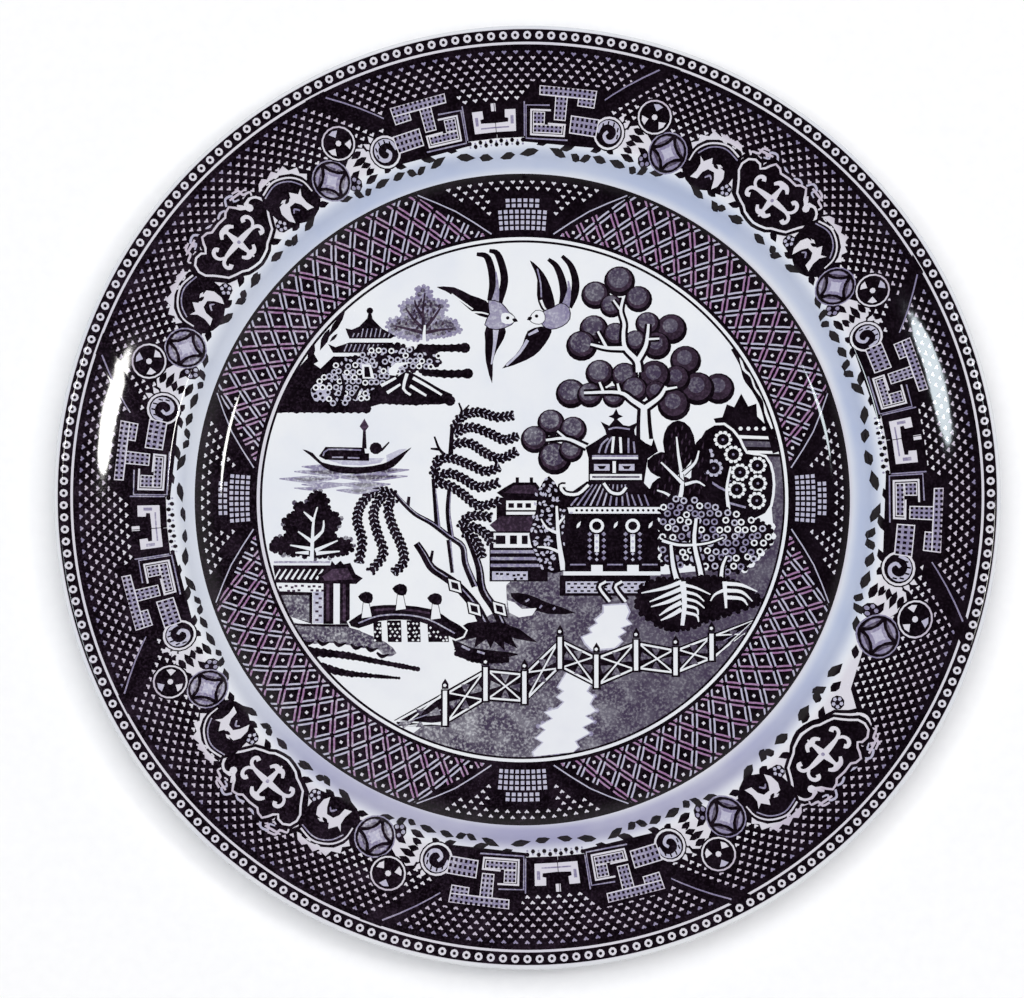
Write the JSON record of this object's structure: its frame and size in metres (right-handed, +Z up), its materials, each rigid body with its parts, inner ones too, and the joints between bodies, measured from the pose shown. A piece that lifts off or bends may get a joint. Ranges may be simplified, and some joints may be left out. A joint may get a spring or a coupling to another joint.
{
  "type": "transfer-printed dinner plate",
  "caption": "Round earthenware dinner plate with a sloping rim, a shallow well and a foot ring, printed in dark ink under a bluish glaze.",
  "frame": {"origin": "on the surface that the plate stands on, under the centre of the plate", "axes": "+Z up out of the well along the plate's axis of turning, +Y towards the top of the printed scene, +X to its right"},
  "size_m": [0.2538, 0.254, 0.0227],
  "materials": {
    "glaze": "glossy bluish-white glaze"
  },
  "bodies": {
    "root": {"plate": "glaze"}
  },
  "joints": []
}
